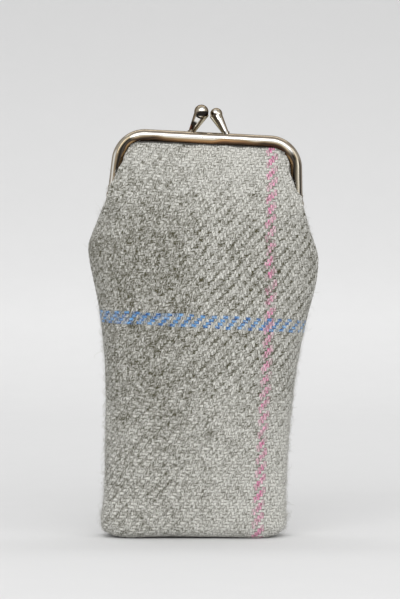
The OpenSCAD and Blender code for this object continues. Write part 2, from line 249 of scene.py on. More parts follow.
def place(p):
    """Points of the upright pouch, leaned over to their places."""
    x, y, z = p[..., 0], p[..., 1], p[..., 2]
    a = LEAN * smooth(z / LEAN_H)
    low = np.minimum(z, HINGE_H)
    rise = np.maximum(z - HINGE_H, 0)
    lift = CORNER_LIFT * smooth((np.abs(x) - LIFT_X) / LIFT_W) * smooth((LIFT_H - z) / LIFT_H)
    return np.stack([
        HINGE_SHIFT * low / HINGE_H + curve(SWAY, low) + x * np.cos(a) + rise * np.sin(a),
        y,
        low + lift - x * np.sin(a) + rise * np.cos(a),
    ], axis=-1)


def waves(u, v, seed, count, shortest, longest):
    """A smooth random field between about -1 and 1, as a sum of waves in random directions."""
    rng = np.random.default_rng(seed)
    total = np.zeros(np.broadcast(u, v).shape)
    for _ in range(count):
        angle = rng.uniform(0, 2 * math.pi)
        k = 2 * math.pi / rng.uniform(shortest, longest)
        phase = rng.uniform(0, 2 * math.pi)
        total += np.sin(k * (u * math.cos(angle) + v * math.sin(angle)) + phase)
    return total / math.sqrt(count)


def row_sizes(z):
    """What sets the horizontal section at height z: the edge where a panel ends, the ledge where
    it turns outwards, the side where it is widest, and the depth at the middle."""
    rise = z - HINGE_H
    seam_x = curve(OUTLINE, z) - SEAM_IN
    slot_x = rim_half(np.minimum(np.maximum(rise, TUCK_FOOT), LIP_Z), LIP_IN)
    to_slot = smooth((z - SEAM_TOP) / 4.5)
    into_slot = smooth((z - SEAM_TOP) / (HINGE_H + TUCK_FOOT - SEAM_TOP))
    edge_x = mix(seam_x, slot_x + 1.5 * (1 - into_slot), to_slot)
    edge_y = mix(SEAM_Y, SLOT_Y, into_slot)
    bare = np.interp(rise, *np.array(BARE_METAL).T)
    side_x = np.where(rise < 3, curve(OUTLINE, z), rim_half(np.minimum(rise, LIP_Z), 0) - bare)
    side_x = np.maximum(side_x, slot_x)
    over = smooth((z - SEAM_TOP + 5) / 9) * smooth((HINGE_H + 17.5 - z) / 4)
    ledge_y = mix(edge_y + 0.3, LEDGE_Y, over)
    side_y = ledge_y + mix(1.8, 1.6, over) * smooth((HINGE_H + 20 - z) / 4)
    depth = np.maximum(half_depth(z), side_y + 0.05)
    return edge_x, edge_y, side_x, ledge_y, side_y, depth


def boxy(z, half_x, edge_y, depth, steps):
    """Quarters of the rounded sections at heights z, from the middle of the face to the side."""
    t = np.linspace(0, math.pi / 2, steps)[None, :]
    n = curve(BOX_N, np.minimum(z, HINGE_H))[:, None]
    p = curve(BOX_P, np.minimum(z, HINGE_H))[:, None]
    x = half_x[:, None] * np.sin(t) ** (2 / n)
    y = edge_y[:, None] + (depth - edge_y)[:, None] * np.cos(t) ** (2 * p)
    return x, y


def panel_rows(z, cover):
    """Half of a panel's face at heights z, as x and y (row, step) from its middle to its edge.
    cover goes from 0 to 1 across the base."""
    edge_x, edge_y, side_x, ledge_y, side_y, depth = row_sizes(z)
    side_x = side_x - heel_in(z)
    edge_x = np.minimum(edge_x - heel_in(z), side_x)
    front_x, front_y = boxy(z, side_x, side_y, depth - heel_in(z), 80)
    ledge = np.linspace(0, 1, 16)[None, 1:]
    turn_x = side_x - 0.12 * np.minimum(side_x - edge_x, 3)
    ledge_x = mix(edge_x[:, None], turn_x[:, None], 1 - ledge)
    flat_y = np.repeat(ledge_y[:, None], ledge.shape[1], axis=1)
    back_x = np.repeat(edge_x[:, None], 6, axis=1)
    back_y = mix(ledge_y[:, None], edge_y[:, None], np.linspace(0, 1, 7)[None, 1:])
    x = np.concatenate([front_x, ledge_x, back_x], axis=1)
    y = np.concatenate([front_y, flat_y, back_y], axis=1)
    return x * mix(0.93, 1, cover)[:, None], y * cover[:, None]


def even(x, y, count):
    """The rows again, with their points evenly spread and their corners rounded."""
    run = np.concatenate([np.zeros((len(x), 1)),
                          np.cumsum(np.hypot(np.diff(x), np.diff(y)), axis=1)], axis=1)
    out = np.empty((2, len(x), count))
    for i in range(len(x)):
        at = np.linspace(0, 1, count) * run[i, -1]
        out[0, i] = np.interp(at, run[i], x[i])
        out[1, i] = np.interp(at, run[i], y[i])
    for _ in range(6):
        out[..., 1:-1] = (out[..., :-2] + 2 * out[..., 1:-1] + out[..., 2:]) / 4
    return out


def mirrored(x, y, z):
    """Half rows (row, step), taken to full rows of placed points from the left edge to the right."""
    full_x = np.concatenate([-x[:, :0:-1], x], axis=1)
    full_y = np.concatenate([-y[:, :0:-1], -y], axis=1)
    full_z = np.repeat(z[:, None], full_x.shape[1], axis=1)
    return place(np.stack([full_x, full_y, full_z], axis=-1))


def tongues(points, z):
    """Takes the cloth's side edges outwards into the channel, above the foot of its slot."""
    rise = z - HINGE_H
    reach = smooth((rise - TUCK_FOOT + 0.6) / 0.6) * smooth((TUCK_Z + 0.1 - rise) / 0.3)
    reach = reach * (rim_half(rise, 1.6) - rim_half(np.minimum(rise, LIP_Z), LIP_IN))
    reach = np.maximum(reach, 0.02)
    edge = np.stack([reach, np.zeros_like(reach), np.zeros_like(reach)], axis=-1)[:, None]
    share = np.linspace(0.2, 1, 5)[None, :, None]
    right = points[:, -1:] + edge * share
    left = points[:, :1] - edge * share[:, ::-1]
    return np.concatenate([left, points, right], axis=1)


def normals(points):
    """Outward directions of a grid of points (row, step, xyz)."""
    across = np.gradient(points, axis=1)
    up = np.gradient(points, axis=0)
    n = np.cross(across, up)
    return n / np.maximum(np.linalg.norm(n, axis=-1, keepdims=True), 1e-9)


def heights():
    """Heights and covers of closely spaced rows, from the base seam to the frame, and the length
    of cloth up the middle to each."""
    cover = np.concatenate([np.linspace(0, 1, BASE_ROWS), np.ones(HEEL_ROWS + SIDE_ROWS)])
    heel = HEEL_R * (1 - np.cos(np.linspace(0, math.pi / 2, HEEL_ROWS + 1)[1:]))
    side = np.linspace(HEEL_R, HINGE_H + TUCK_Z, SIDE_ROWS + 1)[1:]
    z = np.concatenate([np.zeros(BASE_ROWS), heel, side])
    depth = (row_sizes(z)[5] - heel_in(z)) * cover
    length = np.concatenate([[0], np.cumsum(np.hypot(np.diff(depth), np.diff(z)))])
    return z, cover, length


def pick_at(height):
    """The pick that lies at a height up the middle of a panel, counted from the blue line."""
    z, cover, length = heights()
    upright = cover == 1
    at = np.interp([height, BLUE_H], z[upright], length[upright])
    return (at[0] - at[1]) / PICK


def thread_height(along, across):
    """How far a thread stands out, along its floats and from one side of it to the other."""
    return CRIMP * np.cos(math.pi / 2 * along) + ROUNDNESS * np.sqrt(1 - (2 * across - 1) ** 2 * 0.96)


def twill(u, v):
    """How far the surface of the weave stands out, from thread coordinates. A warp end lies over
    two picks and under two, and each end's floats are one pick above those of the end before."""
    end = np.floor(u)
    pick = np.floor(v)
    warp = thread_height(v - end, u - end)
    weft = thread_height(u - pick - 3, v - pick)
    return np.maximum(warp, weft) - 0.25


def mesh_object(name, points, faces, uv=None):
    """A smooth mesh piece from points in millimetres, with thread coordinates if it is woven."""
    mesh = bpy.data.meshes.new(name)
    mesh.from_pydata((np.asarray(points) * MM).tolist(), [], faces)
    if uv is not None:
        layer = mesh.uv_layers.new(name="Weave")
        corner = np.empty(len(mesh.loops), int)
        mesh.loops.foreach_get("vertex_index", corner)
        layer.data.foreach_set("uv", np.asarray(uv, np.float32)[corner].ravel())
    mesh.polygons.foreach_set("use_smooth", [True] * len(mesh.polygons))
    mesh.update()
    piece = bpy.data.objects.new(name, mesh)
    bpy.context.scene.collection.objects.link(piece)
    return piece


def grid_faces(ids, flip):
    """Faces of a grid of vertex numbers. Where neighbours share a number a face is a triangle, or
    is left out."""
    quads = np.stack([ids[:-1, :-1], ids[:-1, 1:], ids[1:, 1:], ids[1:, :-1]], axis=-1).reshape(-1, 4)
    if flip:
        quads = quads[:, ::-1]
    whole = np.all(quads != np.roll(quads, 1, axis=1), axis=1)
    faces = quads[whole].tolist()
    for quad in quads[~whole].tolist():
        corners = list(dict.fromkeys(quad))
        if len(corners) == 3:
            faces.append(corners)
    return faces


def zipped(a, b, flip):
    """Triangles between two runs of vertex numbers that start and end beside each other."""
    faces = []
    i = j = 0
    while i < len(a) - 1 or j < len(b) - 1:
        if j == len(b) - 1 or (i < len(a) - 1 and (i + 1) * (len(b) - 1) <= (j + 1) * (len(a) - 1)):
            faces.append([a[i], b[j], a[i + 1]])
            i += 1
        else:
            faces.append([a[i], b[j], b[j + 1]])
            j += 1
    return [f[::-1] for f in faces] if flip else faces


def runs(ids):
    """The four sides of a grid, each once round, with repeated numbers dropped."""
    sides = [ids[0], ids[:, -1], ids[-1, ::-1], ids[::-1, 0]]
    return [list(dict.fromkeys(side.tolist())) for side in sides]


def closed_sheet(name, outer, outer_ids, inner, uv):
    """A closed mesh between an outer face, given as a grid of numbers into its points, and an
    inner face, given as a grid of points."""
    rows, cols = inner.shape[:2]
    inner_ids = len(outer) + np.arange(rows * cols).reshape(rows, cols)
    faces = grid_faces(outer_ids, False) + grid_faces(inner_ids, True)
    for a, b in zip(runs(outer_ids), runs(inner_ids)):
        faces += zipped(a, b, False)
    return mesh_object(name, np.concatenate([outer, inner.reshape(-1, 3)]), faces, uv)


def spread(run, at, values):
    """Each row's values, read at its own places along it."""
    out = np.empty((len(run), at.shape[-1], values.shape[-1]))
    for i in range(len(run)):
        for k in range(values.shape[-1]):
            out[i, :, k] = np.interp(at[i], run[i], values[i, :, k])
    return out


def row_runs(points):
    """Lengths along each row from its middle."""
    step = np.linalg.norm(np.diff(points, axis=1), axis=-1)
    run = np.concatenate([np.zeros((len(points), 1)), np.cumsum(step, axis=1)], axis=1)
    return run - run[:, [run.shape[1] // 2]]


def turned(points, back):
    """The same on the back of the pouch."""
    return points * np.array([1, -1, 1]) if back else points


def thread_rows():
    """Rows of a tweed panel's mesh: their picks counted from the blue line, lengths of cloth from
    the base seam, heights and covers."""
    z, cover, length = heights()
    blue_at = np.interp(BLUE_H, z[BASE_ROWS:], length[BASE_ROWS:])
    below = blue_at / PICK
    above = (length[-1] - blue_at) / PICK
    between = np.arange(-math.floor(below) * SAMPLES, math.floor(above) * SAMPLES + 1) / SAMPLES
    v = np.concatenate([[-below], between, [above]])
    at = v * PICK + blue_at
    return v, at, np.interp(at, length, z), np.interp(at, length, cover)


def thread_columns(run):
    """How far across each row of a tweed panel's mesh its columns lie, and the numbers of its
    vertices, where the columns past a row's edge all share the one at the edge."""
    half = max(run[:, -1].max(), -run[:, 0].min())
    count = math.ceil(half / END * SAMPLES)
    across = np.arange(-count, count + 1)[None, :] / SAMPLES * END
    low = run[:, :1] - END / SAMPLES * 0.4
    high = run[:, -1:] + END / SAMPLES * 0.4
    columns = across.shape[1]
    left = np.argmax(across > low, axis=1)[:, None]
    right = columns - 1 - np.argmax((across < high)[:, ::-1], axis=1)[:, None]
    column = np.clip(np.arange(columns)[None, :], left, right)
    ids = np.arange(len(run))[:, None] * columns + column
    return np.clip(across, run[:, :1], run[:, -1:]), ids


def tweed_sheet(name, back, seed):
    """One panel of tweed, woven: its grid follows the threads, so that each lies true. Its outer
    face's points and normals come with it."""
    v, length, z, cover = thread_rows()
    base = tongues(mirrored(*even(*panel_rows(z, cover), 240), z), z)
    run = row_runs(base)
    at, ids = thread_columns(run)
    points = spread(run, at, base)
    normal = spread(run, at, normals(base))
    normal /= np.maximum(np.linalg.norm(normal, axis=-1, keepdims=True), 1e-9)

    # The threads' places, and the relief of the weave and of the soft cloth
    up = length[:, None]
    rise = (z - HINGE_H)[:, None]
    slip = curve(WARP_SLIP, z)[:, None] * (-1 if back else 1)
    thread_u = (at + slip) / END + END_DRIFT * waves(at, up, seed, 5, 7, 25)
    thread_v = v[:, None] + PICK_DRIFT * waves(at, up, seed + 1, 5, 7, 25)
    from_left = at - run[:, :1]
    from_right = run[:, -1:] - at
    bare = smooth((LIP_Z - 0.2 - rise) / 0.8) * smooth(up / 1.5)
    bare = bare * smooth(from_left / 1.5) * smooth(from_right / 1.5)
    inland = smooth(np.minimum(from_left, from_right) / 12)
    sag = SAG * waves(at, up, seed + 2, 9, 12, 60) * smooth(up / 25) * inland
    points = points + normal * ((twill(thread_u, thread_v) + sag) * bare)[..., None]
    if not back:
        drawn = smooth((rise - 2) / 4) * smooth((19 - rise) / 5) * smooth((at - 30) / 9)
        points[..., 0] -= DRAWN_IN * drawn
    arch = ARCH * smooth(length / 12) * smooth((30 - z) / 30)
    points[..., 2] += arch[:, None] * smooth(1.15 - np.abs(points[..., 0]) / 38)
    points[..., 2] = np.maximum(points[..., 2], 0.03)

    used, outer_ids = np.unique(ids, return_inverse=True)
    outer_ids = outer_ids.reshape(ids.shape)
    outer = turned(points.reshape(-1, 3)[used], back)
    uv = np.stack([thread_u, thread_v], axis=-1).reshape(-1, 2)[used]
    inner_at = mix(run[:, :1], run[:, -1:], np.linspace(0, 1, 61)[None, :])
    inner = spread(run, inner_at, base) - 1.1 * spread(run, inner_at, normals(base))
    rows = sorted(set(range(0, len(z), 6)) | {len(z) - 1})
    inner = inner[rows]
    inner[..., 2] = np.maximum(inner[..., 2], 0.5)
    inner_uv = np.stack([inner_at[rows] / END, np.repeat(v[rows][:, None], 61, axis=1)], axis=-1)
    uv = np.concatenate([uv, inner_uv.reshape(-1, 2)])
    if back:
        outer_ids = outer_ids[:, ::-1]
        inner = inner[:, ::-1]
    piece = closed_sheet(name, outer, outer_ids, turned(inner, back), uv)
    return piece, points, normal


def blend_frame(piece):
    """Bakes a piece's transform into its mesh."""
    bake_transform(piece)


class Graph:
    """A material's nodes, with short calls for the kinds that the materials here share."""

    def __init__(self, name, **shader):
        self.material = bpy.data.materials.new(name)
        self.material.use_nodes = True
        self.nodes = self.material.node_tree.nodes
        self.links = self.material.node_tree.links
        self.shader = self.nodes["Principled BSDF"]
        for socket, value in shader.items():
            self.shader.inputs[socket.replace("_", " ")].default_value = value

    def add(self, kind, *inputs, **settings):
        """A new node of a kind, with its first inputs set or linked. None leaves one as it is."""
        node = self.nodes.new("ShaderNode" + kind)
        for key, value in settings.items():
            setattr(node, key, value)
        for socket, value in zip(node.inputs, inputs):
            self.set(socket, value)
        return node

    def set(self, socket, value):
        if isinstance(value, bpy.types.NodeSocket):
            self.links.new(value, socket)
        elif value is not None:
            socket.default_value = value

    def math(self, operation, *inputs, clamp=False):
        return self.add("Math", *inputs, operation=operation, use_clamp=clamp).outputs[0]

    def plus(self, a, b, clamp=False):
        return self.math("ADD", a, b, clamp=clamp)

    def minus(self, a, b):
        return self.math("SUBTRACT", a, b)

    def times(self, a, b, clamp=False):
        return self.math("MULTIPLY", a, b, clamp=clamp)

    def apart(self, a, b):
        return self.math("ABSOLUTE", self.minus(a, b))

    def vector(self, x, y, z=0):
        return self.add("CombineXYZ", x, y, z).outputs[0]

    def scaled(self, x, y, by_x, by_y, z=0):
        return self.vector(self.times(x, by_x), self.times(y, by_y), z)

    def parts(self, vector):
        return self.add("SeparateXYZ", vector).outputs

    def vector_math(self, operation, a, b=None):
        """The result of a vector operation: a number for a length or a product, else a vector."""
        node = self.add("VectorMath", a, b, operation=operation)
        number = operation in ("DOT_PRODUCT", "DISTANCE", "LENGTH")
        return node.outputs["Value" if number else "Vector"]

    def noise(self, vector, scale, detail=2, roughness=0.5):
        return self.add("TexNoise", vector, None, scale, detail, roughness).outputs[0]

    def white(self, vector):
        return self.add("TexWhiteNoise", vector).outputs["Value"]

    def ramp(self, factor, *stops):
        node = self.add("ValToRGB", factor)
        ramp = node.color_ramp
        while len(ramp.elements) < len(stops):
            ramp.elements.new(0.5)
        for element, (position, colour) in zip(ramp.elements, stops):
            element.position = position
            element.color = (*colour, 1)
        return node.outputs[0]

    def spread(self, value, low, high, to_low=0, to_high=1):
        return self.add("MapRange", value, low, high, to_low, to_high).outputs[0]

    def blend(self, factor, a, b):
        node = self.add("Mix", data_type="RGBA")
        for socket, value in zip((node.inputs[0], node.inputs[6], node.inputs[7]), (factor, a, b)):
            self.set(socket, (*value, 1) if isinstance(value, tuple) else value)
        return node.outputs[2]

    def finish(self, colour, height=None, distance=0.1, strength=1, roughness=None):
        self.set(self.shader.inputs["Base Color"], colour)
        if roughness is not None:
            self.set(self.shader.inputs["Roughness"], roughness)
        if height is not None:
            bump = self.add("Bump")
            bump.inputs["Strength"].default_value = strength
            bump.inputs["Distance"].default_value = distance * MM
            self.set(bump.inputs["Height"], height)
            self.set(self.shader.inputs["Normal"], bump.outputs[0])
        return self.material


def streaks(g, u, v, angle, width, length):
    """A field of short fibres that run at an angle to the warp, in thread coordinates."""
    across = g.minus(g.times(u, math.cos(angle) / width), g.times(v, math.sin(angle) / width))
    along = g.plus(g.times(u, math.sin(angle) / length), g.times(v, math.cos(angle) / length))
    return g.noise(g.vector(across, along, 7 * angle), 1, 1, 0.6)


def greys(*stops):
    """A colour ramp's stops, from (position, lightness)."""
    return [(at, (tone,) * 3) for at, tone in stops]


def yarn_tones(g, u, v, end, luck):
    """How light the undyed warp and weft are, and each float's luck, with what blotches add and a
    lightening towards the top, the foot and the right of the heel. The light ends lie right of the
    middle, and the light picks at the top and near the foot."""
    end_luck = g.white(g.vector(end, 3.7))
    from_light = g.minus(g.plus(u, g.times(end_luck, 6)), g.spread(v, -5, -30, 0, 5))
    end_tone = g.spread(from_light, -10, 6, 0.4, 0.72)
    up = g.spread(v, FOOT_PICK, TOP_PICK)
    pick_tone = g.ramp(up, *greys((0, 0.62), (0.22, 0.56), (0.34, 0.48), (0.44, 0.31), (0.66, 0.25),
                                  (0.78, 0.33), (0.86, 0.48), (1, 0.55)))
    # Lighter towards the top and the foot of the panel, and towards the right of the heel
    paler_top_foot_heel = g.ramp(up, *greys((0, 0.24), (0.22, 0.11), (0.36, 0), (0.74, 0), (0.86, 0.15), (1, 0.38)))
    pale_heel = g.times(g.spread(u, 18, 32, 0, 0.16), g.spread(v, -15, -50))
    paler_top_foot_heel = g.plus(paler_top_foot_heel, pale_heel)
    blotches = g.noise(g.scaled(u, v, 0.13, 0.13, 9), 1, 2, 0.6)
    blotches = g.spread(blotches, 0.35, 0.65, -0.09, 0.09)
    luck = g.plus(luck, g.plus(paler_top_foot_heel, blotches))
    return g.plus(end_tone, luck), g.plus(pick_tone, luck), luck


def dyed(g, u, v, end, pick, luck, warp, weft, warp_grain, weft_grain):
    """The colours of warp and weft with the pink ends and the blue picks, whose dye is uneven, and
    with the blue that shows through between the ends."""
    patches = g.noise(g.scaled(u, v, 0.4, 0.25, 3), 1, 2, 0.6)
    middle = (PINK_ENDS[0] + PINK_ENDS[1]) / 2
    pink_ends = g.math("COMPARE", end, middle, (PINK_ENDS[1] - PINK_ENDS[0]) / 2 + 0.1)
    off_middle = g.apart(end, middle)
    share = g.plus(luck, g.spread(patches, 0.35, 0.65, 0.15, 0.8), clamp=True)
    share = g.times(share, g.spread(off_middle, 0.5, 1.5, 1.15, 0.7), clamp=True)
    pink = g.blend(g.spread(warp_grain, 0.35, 0.65), *PINK)
    warp = g.blend(g.times(pink_ends, share), warp, pink)

    blue_picks = g.math("COMPARE", pick, -0.5, BLUE_PICKS / 2)
    share = g.plus(g.spread(patches, 0.35, 0.65, 0.85, 1.1), g.spread(u, -35, 35, 0.1, -0.08),
                   clamp=True)
    blue = g.blend(g.spread(weft_grain, 0.35, 0.65), *BLUE)
    weft = g.blend(g.times(blue_picks, share), weft, blue)
    strays = g.plus(g.spread(patches, 0.42, 0.62, 0, 0.5), g.spread(u, -35, 10, 0.05, -0.25),
                    clamp=True)
    return g.blend(g.times(blue_picks, strays), warp, blue), weft


def tweed_material(lip_pick):
    """Woven wool, coloured thread by thread from the thread coordinates in the mesh's UV map.
    lip_pick is the pick at which the cloth goes into the frame."""
    g = Graph("tweed", Roughness=0.95, Sheen_Weight=0.25, Sheen_Roughness=0.6, Specular_IOR_Level=0.15)
    u, v, _ = g.parts(g.add("UVMap", uv_map="Weave").outputs[0])
    # The twist of the yarn slants each float of the warp
    rise = g.math("FLOORED_MODULO", g.minus(v, g.math("FLOOR", u)), 4)
    slant = g.times(g.minus(g.math("MINIMUM", rise, 2), 1), SLANT)
    slanted = g.minus(u, slant)
    end = g.math("FLOOR", slanted)
    pick = g.math("FLOOR", v)
    step = g.math("FLOORED_MODULO", g.minus(end, pick), 4)
    warp_up = g.math("LESS_THAN", step, 1.5)

    luck = g.spread(g.white(g.vector(end, pick, warp_up)), 0, 1, -0.22, 0.22)
    warp_tone, weft_tone, luck = yarn_tones(g, u, v, end, luck)
    warp_grain = streaks(g, u, v, 0.42, 0.42, 1.5)
    weft_grain = streaks(g, u, v, 1.25, 0.42, 1.5)
    warp_tone = g.plus(warp_tone, g.spread(warp_grain, 0.3, 0.7, -0.45, 0.45), clamp=True)
    weft_tone = g.plus(weft_tone, g.spread(weft_grain, 0.3, 0.7, -0.45, 0.45), clamp=True)
    warp = g.blend(warp_tone, *WOOL)
    weft = g.blend(weft_tone, *WOOL)
    warp, weft = dyed(g, u, v, end, pick, luck, warp, weft, warp_grain, weft_grain)
    cloth = g.blend(warp_up, weft, warp)

    # Shade between the threads, dark specks, pale loose hairs, and the shade inside the frame
    edge_u = g.apart(g.math("FRACT", slanted), 0.5)
    edge_v = g.apart(g.math("FRACT", v), 0.5)
    edge = g.blend(warp_up, edge_v, edge_u)
    cloth = g.blend(g.spread(edge, 0.26, 0.48, 0, 0.75), cloth, (0.052, 0.048, 0.026))
    specks = g.noise(g.vector(u, v, 4), 2.3, 2, 0.7)
    depth = g.plus(g.spread(u, -35, 25, 0.86, 0.64), g.spread(v, -10, -50, 0, 0.14))
    speckled = g.times(g.spread(specks, 0.57, 0.66), depth)
    cloth = g.blend(speckled, cloth, (0.033, 0.029, 0.012))
    for angle in HAIR_ANGLES:
        hairs = streaks(g, u, v, angle, 0.26, 1.6)
        cloth = g.blend(g.spread(hairs, 0.62, 0.72, 0, 0.5), cloth, (0.735, 0.73, 0.705))
    into_frame = g.plus(v, g.spread(specks, 0.3, 0.7, -0.25, 0.25))
    into_frame = g.spread(into_frame, lip_pick - 0.5, lip_pick - 0.1, 0, 0.9)
    cloth = g.blend(into_frame, cloth, (0.02, 0.016, 0.012))
    return g.finish(cloth, weft_grain, distance=0.25, strength=0.6)


def hinge_coordinates(g):
    """Places in millimetres about the hinge axis, upright with the frame, and normals there."""
    coords = g.add("TexCoord").outputs
    at = g.add("Mapping", coords["Object"], HINGE, (0, LEAN, 0), (MM,) * 3,
               vector_type="TEXTURE").outputs[0]
    normal = g.add("Mapping", coords["Normal"], None, (0, -LEAN, 0), vector_type="VECTOR").outputs[0]
    return at, normal, coords["Object"]


def rim_coordinates(g):
    """How far round the rolled rim a point of its surface lies, from 0 on the outer side to 1 on
    the inner side, how upright the rim runs there, and how far right of its middle."""
    at, normal, coords = hinge_coordinates(g)
    at = g.parts(at)
    past_top = g.math("MAXIMUM", g.minus(g.math("ABSOLUTE", at[0]), TOP_HALF), 0)
    across = g.times(past_top, g.math("SIGN", at[0]))
    above = g.math("MAXIMUM", g.minus(at[2], CORNER_Z), 0)
    outward = g.vector_math("NORMALIZE", g.vector(across, 0, above))
    facing = g.vector_math("DOT_PRODUCT", outward, normal)
    upright = g.math("ABSOLUTE", g.parts(outward)[0])
    return g.spread(facing, 1, -1), upright, at[0], coords


def nickel_material():
    """Polished nickel with painted reflections round its rim: warm and dark on the rim's sides, a
    painted highlight along the front and painted shade with glints towards the slot; and faint wipe
    marks."""
    g = Graph("frame_nickel", Metallic=1, Specular_Tint=EDGE_TINT)
    round_rim, upright, to_right, coords = rim_coordinates(g)
    inner = g.spread(round_rim, 0.3, 0.7)
    wander = g.spread(g.noise(coords, 75, 1), 0.35, 0.65, -1, 1)
    reach = g.spread(inner, 0, 1, 0.03, 0.11)
    round_rim = g.plus(round_rim, g.times(wander, reach))
    # The rim's colours are painted reflections, highlights, glints and shade, by how far round the rim
    # a point lies
    middle, corner, bend, left_leg, right_leg = [g.ramp(round_rim, *stops) for stops in RIM_PAINTED_LIGHT]
    nickel = g.blend(g.spread(g.math("ABSOLUTE", to_right), 8, 24), middle, corner)
    on_right = g.spread(to_right, -1, 1)
    bent = g.spread(g.minus(upright, g.times(on_right, 0.28)), 0.4, 0.58)
    nickel = g.blend(bent, nickel, bend)
    leg = g.blend(on_right, left_leg, right_leg)
    nickel = g.blend(g.spread(upright, 0.92, 0.98), nickel, leg)
    marks = g.noise(coords, 900, 4, 0.6)
    return g.finish(nickel, g.noise(coords, 320, 2), distance=0.01, strength=0.25,
                    roughness=g.spread(marks, 0.3, 0.7, 0.1, 0.2))


def finger_stem(g, along, across, wander, painted_foot_shade):
    """Painted reflections and shade across a clasp finger's stem and fin, and if asked a painted dark
    shade with painted glints at the fin's foot.
    """
    stops = [
        (-0.75, (0.16, 0.12, 0.08)), (-0.5, (0.4, 0.32, 0.23)), (-0.38, (0.98, 0.96, 0.92)),
        (-0.05, (0.95, 0.93, 0.88)), (0.08, (0.42, 0.38, 0.32)), (0.18, (0.06, 0.05, 0.04)),
        (0.48, (0.08, 0.065, 0.05)), (0.6, (0.3, 0.25, 0.17)), (0.74, (0.78, 0.74, 0.6)),
        (0.85, (0.55, 0.49, 0.35)), (0.97, (0.13, 0.11, 0.07))]
    # A painted dark shade at the fin's foot, with painted glints
    if painted_foot_shade:
        stops[4:7] = [(0.25, (0.9, 0.89, 0.86)), (0.36, (0.42, 0.38, 0.32)), (0.48, (0.3, 0.26, 0.2))]
    stem = g.ramp(g.spread(across, -1, 1), *[((q + 1) / 2, colour) for q, colour in stops])
    if not painted_foot_shade:
        return stem
    low = g.spread(g.plus(along, g.times(wander, 0.08)), 0.44, 0.36)
    low = g.times(low, g.spread(across, 0.25, 0.1))
    glint = g.blend(g.spread(wander, 0.1, 0.5), (0.03, 0.025, 0.02), (0.22, 0.08, 0.05))
    return g.blend(g.times(low, g.spread(along, 0.05, 0.12)), stem, glint)


def finger_head(g, face, wander, shine, shaded):
    """Painted reflections round a clasp ball by its normals, with a painted highlight, and if asked a
    painted dark shade with painted glints on its underside.
    """
    flat = g.vector(face[0], 0, face[2])
    head = g.ramp(g.vector_math("LENGTH", flat), (0, (0.52, 0.48, 0.4)),
                  (0.66, (0.42, 0.37, 0.29)), (0.84, (0.24, 0.19, 0.13)), (1, (0.12, 0.1, 0.06)))
    # A painted highlight where the ball faces its shine
    off = g.vector_math("DISTANCE", flat, (shine[0], 0, shine[1]))
    head = g.blend(g.spread(off, 0.34, 0.18), head, (1, 0.99, 0.96))
    if not shaded:
        return head
    # A painted shade under the ball, with painted glints
    under = g.plus(face[2], g.times(wander, 0.1))
    glint = g.blend(g.spread(wander, 0.2, 0.6), (0.025, 0.022, 0.02), (0.2, 0.09, 0.05))
    under = g.times(g.spread(under, 0.02, -0.1), g.spread(face[0], -0.78, -0.52))
    return g.blend(under, head, glint)


def finger_material(name, foot, ball, radius, shine, neck):
    """Polished nickel of a clasp finger, with reflections, a highlight and the shade of its hollows
    painted into its colour. Its colours run across the stem and its fin, and are drawn out towards the
    ball."""
    g = Graph(name, Metallic=1, Specular_Tint=EDGE_TINT)
    at, normal, coords = hinge_coordinates(g)
    wander = g.spread(g.noise(coords, 190, 0), 0.3, 0.7, -1, 1)
    length = math.dist(foot, ball)
    axis = ((ball[0] - foot[0]) / length, 0, (ball[1] - foot[1]) / length)
    inwards = math.copysign(1, axis[0])
    sideways = (inwards * axis[2], 0, -inwards * axis[0])
    up = g.vector_math("SUBTRACT", at, (foot[0], 0, foot[1]))
    along = g.math("DIVIDE", g.vector_math("DOT_PRODUCT", up, axis), length)
    half = g.spread(along, 0, 1, FINGER_FOOT_R, radius + FIN_PROUD)
    across = g.math("DIVIDE", g.vector_math("DOT_PRODUCT", up, sideways), half)
    across = g.plus(across, g.times(wander, 0.05))
    face = g.parts(normal)
    # A ball that is told from its stem below its middle shows the shade of its underside
    stem = finger_stem(g, along, across, wander, neck < 0)
    head = finger_head(g, face, wander, shine, neck < 0)
    away = g.parts(g.vector_math("SUBTRACT", at, (ball[0], 0, ball[1])))
    away = g.vector_math("LENGTH", g.vector(away[0], 0, away[2]))
    on_ball = g.math("LESS_THAN", away, radius + 0.06)
    on_head = g.times(on_ball, g.spread(face[2], neck - 0.06, neck + 0.06))
    marks = g.noise(coords, 900, 4, 0.6)
    return g.finish(g.blend(on_head, stem, head), roughness=g.spread(marks, 0.3, 0.7, 0.08, 0.16))


def plain_cloth_material(name, dark, light, threads):
    """A plain weave of fine threads, uneven in thickness, for the layers that hardly show."""
    g = Graph(name, Roughness=0.9, Sheen_Weight=0.2)
    coords = g.add("TexCoord").outputs["Object"]
    x, _, z = g.parts(coords)
    across = g.math("SINE", g.times(x, threads))
    along = g.math("SINE", g.times(z, threads))
    weave = g.spread(g.times(across, along), -1, 1)
    warp_slubs = g.noise(g.scaled(x, z, *SLUBS), 1)
    weft_slubs = g.noise(g.scaled(z, x, *SLUBS, 5), 1)
    slubs = g.times(g.spread(warp_slubs, 0.3, 0.7, 0.45, 1), g.spread(weft_slubs, 0.3, 0.7, 0.45, 1))
    worn = g.spread(g.noise(coords, 70, 3, 0.6), 0.25, 0.75, 0.55, 1.3)
    shade = g.times(g.times(g.spread(weave, 0, 1, 0.5, 1), worn), slubs, clamp=True)
    return g.finish(g.blend(shade, dark, light), g.plus(weave, slubs), distance=0.08, strength=0.8)


def fluff_material(name, dark, light, scale):
    """Soft or rough fibres in tufts, at a number of tufts per metre."""
    g = Graph(name, Roughness=1, Sheen_Weight=0.3)
    coords = g.add("TexCoord").outputs["Object"]
    tufts = g.noise(coords, scale, 5, 0.75)
    return g.finish(g.blend(tufts, dark, light), tufts, distance=0.5, strength=0.8)


